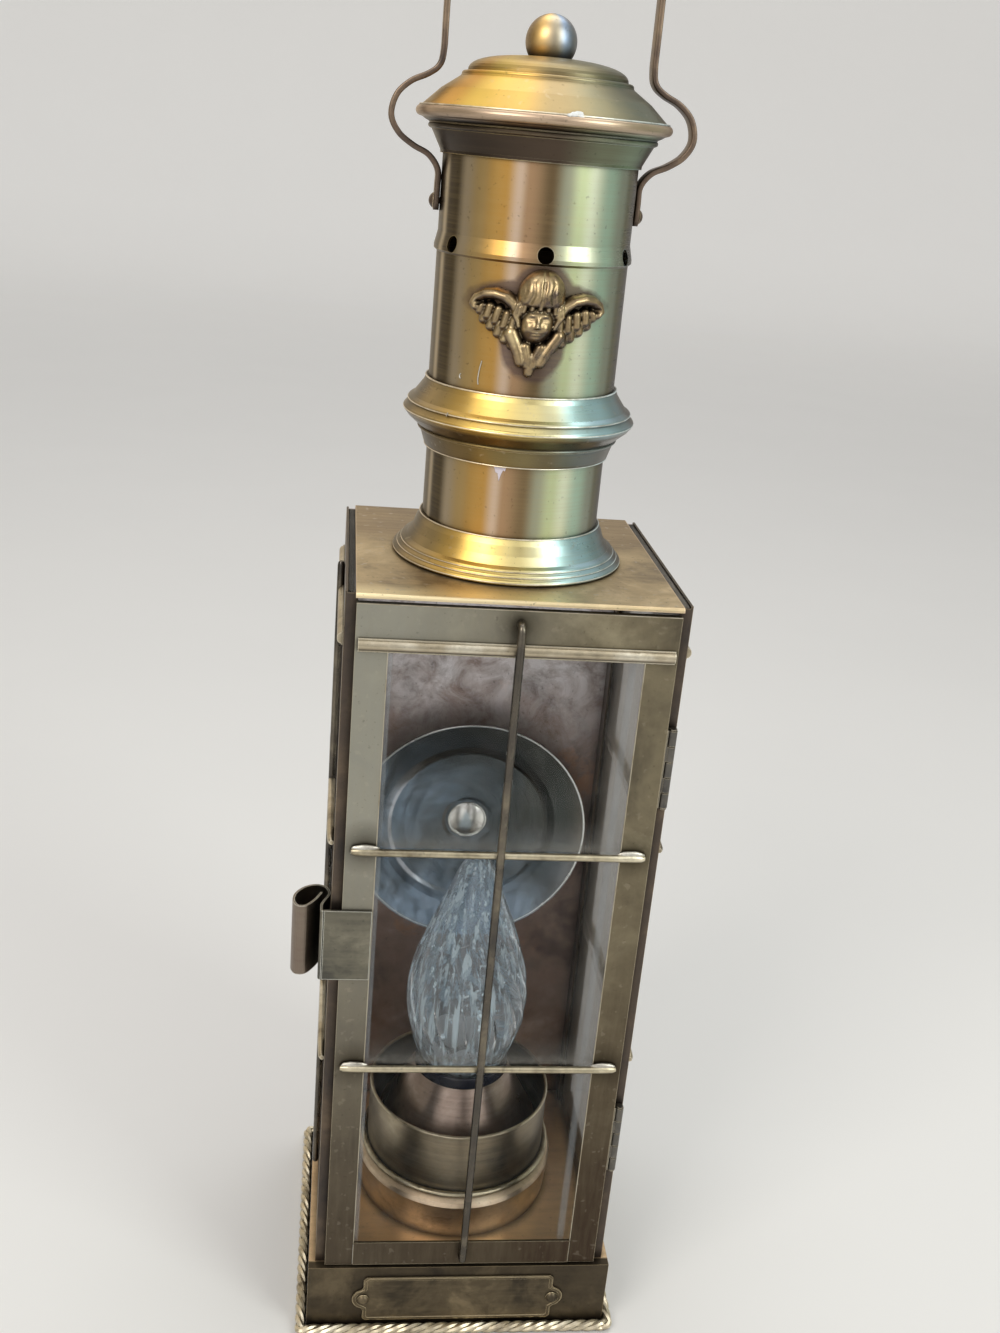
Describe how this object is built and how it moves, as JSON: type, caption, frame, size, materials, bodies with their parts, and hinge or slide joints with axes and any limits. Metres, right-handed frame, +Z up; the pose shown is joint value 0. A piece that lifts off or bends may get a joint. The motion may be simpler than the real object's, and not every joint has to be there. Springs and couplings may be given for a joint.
{
  "type": "lantern",
  "caption": "Square hand lantern of patinated brass with a glazed hinged door, sliding side glasses, a round vented chimney with a cap, an electric lamp inside and a bail handle.",
  "frame": {"origin": "middle of the base on the surface that the lantern stands on", "axes": "+Z up the chimney, -Y out of the door at the front, +X to the hinge side of the door"},
  "size_m": [0.1334, 0.1188, 0.5649],
  "materials": {
    "antique_brass": "aged, brushed",
    "pale_brass": "worn bright",
    "dark_brass": "dark patina",
    "copper_brass": "reddish patina",
    "pane_glass": "clear, dusty",
    "bulb_glass": "clear",
    "mirror_nickel": "polished",
    "socket_plastic": "matt",
    "plain_steel": "plain"
  },
  "bodies": {
    "lantern": {"base_tray": "antique_brass", "base_bottom_plate": "dark_brass", "rope_trim": "pale_brass", "name_plate": "antique_brass", "name_plate_rivets": "antique_brass", "cord_bush": "socket_plastic", "back_wall": "dark_brass", "left_side_frame": "dark_brass", "right_side_frame": "dark_brass", "left_level_bars": "pale_brass", "right_level_bars": "pale_brass", "left_upright_bar": "pale_brass", "right_upright_bar": "pale_brass", "roof_plate": "antique_brass", "chimney_flange": "pale_brass", "lower_chimney_tube": "antique_brass", "chimney_collar": "pale_brass", "upper_chimney_tube": "antique_brass", "cherub_ornament": "pale_brass", "cap_skirt": "antique_brass", "cap_dome": "antique_brass", "finial_ball": "antique_brass", "finial_screw": "dark_brass", "bail_rivets": "copper_brass", "reflector": "mirror_nickel", "reflector_button": "mirror_nickel", "reflector_nut": "antique_brass", "lamp_drum": "copper_brass", "drum_bead": "pale_brass", "lamp_cup": "antique_brass", "lamp_cone": "antique_brass", "socket_collar": "socket_plastic", "socket_body": "socket_plastic", "socket_shell": "pale_brass", "socket_contact": "plain_steel", "lamp_nipple": "antique_brass", "nipple_nuts": "antique_brass", "bulb_cap": "plain_steel", "bulb_glass": "bulb_glass", "bulb_stem": "bulb_glass", "bulb_lead_wires": "plain_steel", "filament": "plain_steel", "hinge_body_leaves": "copper_brass", "hinge_pins": "copper_brass"},
    "door": {"door_frame": "antique_brass", "door_bottom_strip": "antique_brass", "door_top_trim": "pale_brass", "door_level_bars": "pale_brass", "door_upright_bar": "pale_brass", "door_glass": "pane_glass", "door_glass_clips": "dark_brass", "latch_plate": "antique_brass", "hinge_door_leaves": "copper_brass"},
    "latch_tongue": {"latch_tongue": "antique_brass"},
    "bail": {"bail_handle": "copper_brass"},
    "left_glass": {"left_side_glass": "pane_glass"},
    "right_glass": {"right_side_glass": "pane_glass"}
  },
  "joints": [
    {"name": "door_hinge", "type": "hinge", "parent": "lantern", "child": "door", "pos_m": [0.05495, -0.05325, 0.1682], "axis": [0, 0, 1], "range_deg": [0, 160]},
    {"name": "latch_spring", "type": "hinge", "parent": "door", "child": "latch_tongue", "pos_m": [-0.05915, -0.05445, 0.1768], "axis": [0, 0, 1], "range_deg": [0, 10], "stiffness_Nm_per_rad": 0.5},
    {"name": "bail_pivot", "type": "hinge", "parent": "lantern", "child": "bail", "pos_m": [0, 0, 0.4222], "axis": [1, 0, 0], "range_deg": [-150, 150]},
    {"name": "left_glass_lift", "type": "slide", "parent": "lantern", "child": "left_glass", "axis": [0, 0, 1], "range_m": [0, 0.25]},
    {"name": "right_glass_lift", "type": "slide", "parent": "lantern", "child": "right_glass", "axis": [0, 0, 1], "range_m": [0, 0.25]}
  ]
}
